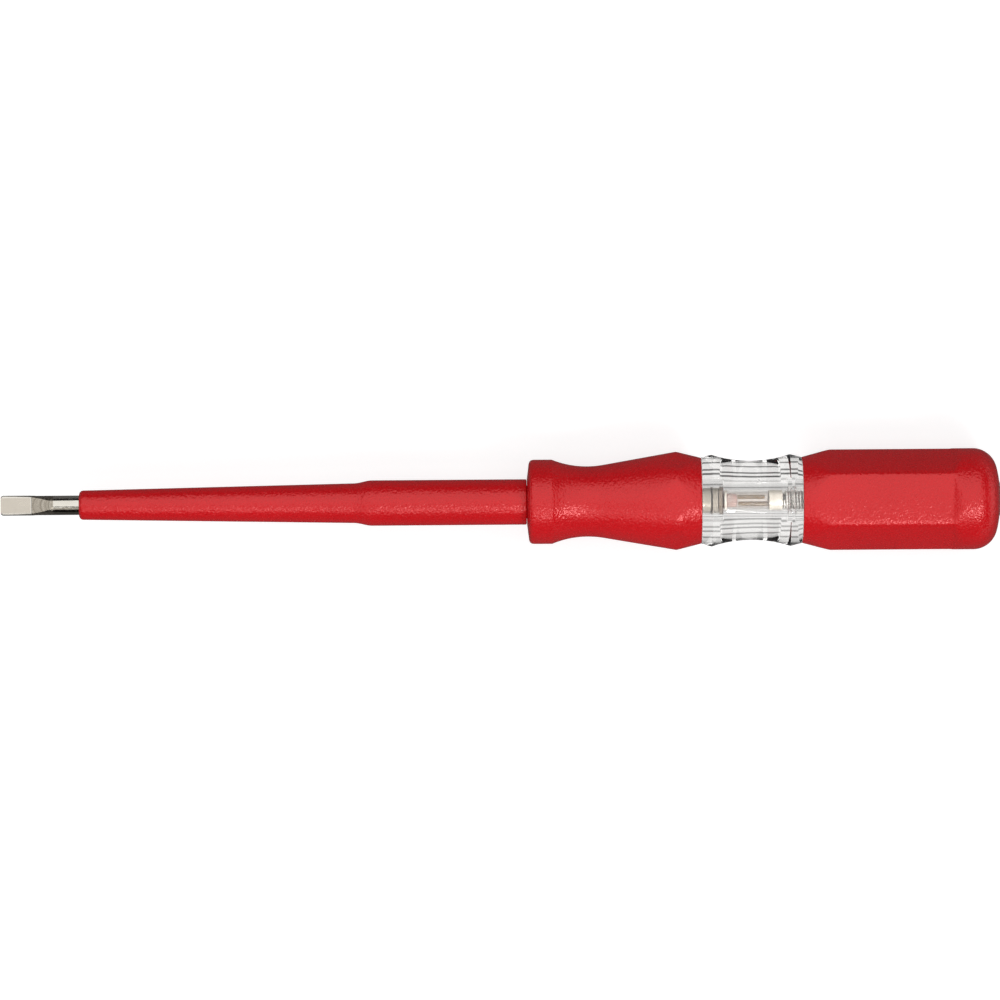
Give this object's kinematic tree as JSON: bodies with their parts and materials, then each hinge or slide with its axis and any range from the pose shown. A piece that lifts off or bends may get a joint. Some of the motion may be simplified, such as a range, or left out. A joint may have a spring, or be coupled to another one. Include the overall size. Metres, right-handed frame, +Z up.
{
  "type": "voltage tester screwdriver",
  "caption": "Flat-blade screwdriver that tests for mains voltage: insulated shaft, faceted grip, clear window over a glow lamp, and a sprung touch button at the end.",
  "frame": {"origin": "on the tool's axis, halfway between the blade tip and the touch button's face", "axes": "+X from the blade tip to the touch button; +Z up out of a grip flat with the tool lying on its side; +Y across the tool, which completes the right-handed frame"},
  "size_m": [0.15, 0.0152, 0.0152],
  "materials": {
    "red_plastic": "fine spark-eroded grain, semi-matt",
    "clear_plastic": "polished clear plastic",
    "lamp_glass": "clear glass",
    "stem_glass": "pinkish cloudy glass",
    "nickel_plate": "bright nickel plate",
    "spring_steel": "drawn wire",
    "brass": "turned",
    "ceramic": "matt lacquered film on ceramic",
    "electrode_metal": "matt coated metal"
  },
  "bodies": {
    "tool": {"blade": "nickel_plate", "insulating_sleeve": "red_plastic", "front_grip": "red_plastic", "window": "clear_plastic", "rear_grip": "red_plastic", "resistor_core": "ceramic", "resistor_front_cap": "nickel_plate", "resistor_rear_cap": "nickel_plate", "contact_disc": "nickel_plate", "lamp_front_cap": "nickel_plate", "lamp_stem": "stem_glass", "lamp_glass": "lamp_glass", "lamp_rear_cap": "nickel_plate", "lamp_front_electrode": "electrode_metal", "lamp_rear_electrode": "electrode_metal", "contact_spring": "spring_steel"},
    "touch": {"touch_button": "nickel_plate", "guide_pin": "brass"}
  },
  "joints": [
    {"name": "button_press", "type": "slide", "parent": "tool", "child": "touch", "axis": [-1, 0, 0], "range_m": [0, 0.001], "stiffness_N_per_m": 200, "springref_m": -0.001, "deforming": ["contact_spring"]}
  ]
}
